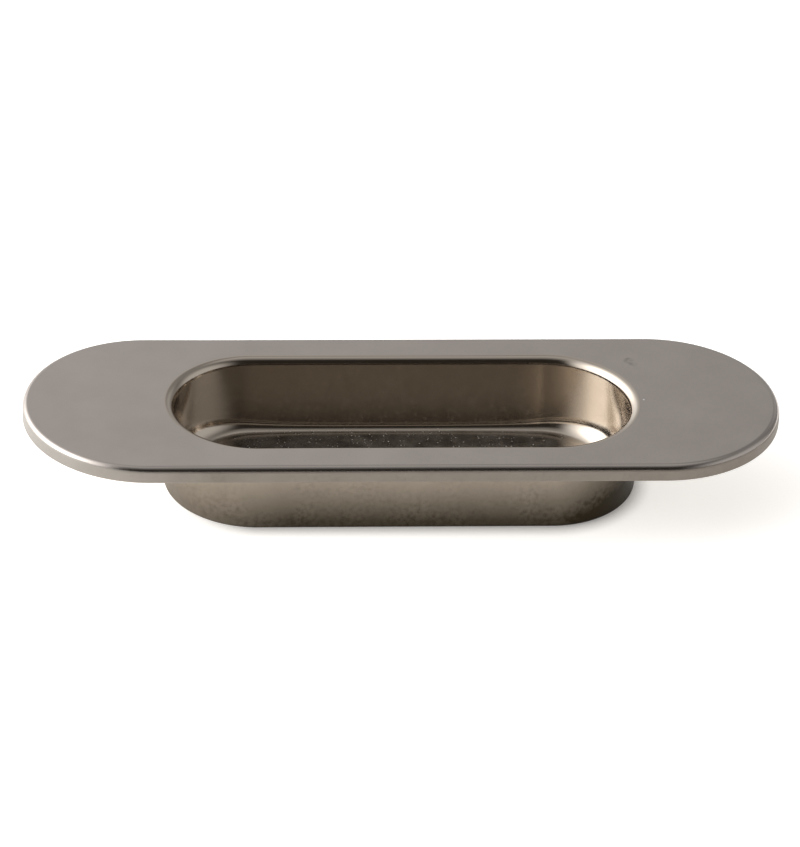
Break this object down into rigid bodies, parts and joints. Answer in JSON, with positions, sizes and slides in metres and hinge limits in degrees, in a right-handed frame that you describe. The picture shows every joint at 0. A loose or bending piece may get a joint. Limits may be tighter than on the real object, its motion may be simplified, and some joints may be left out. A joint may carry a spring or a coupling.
{
  "type": "recessed pull handle",
  "caption": "Obround metal plate around a shallow obround finger recess, set into a routed pocket so that a flush door or drawer can be pulled open.",
  "frame": {"origin": "centre of the seat plane, the flat back of the plate, so that z = 0 is the face of the door; the part stands on the base of its cup at z = -12 mm", "axes": "+Z out of the door towards the hand, +X along the plate, +Y across it"},
  "size_m": [0.12, 0.0396, 0.0147],
  "materials": {
    "satin_nickel": "satin nickel plate, fine brushed plate, brighter inside the recess"
  },
  "bodies": {
    "root": {"recessed_pull": "satin_nickel"}
  },
  "joints": []
}
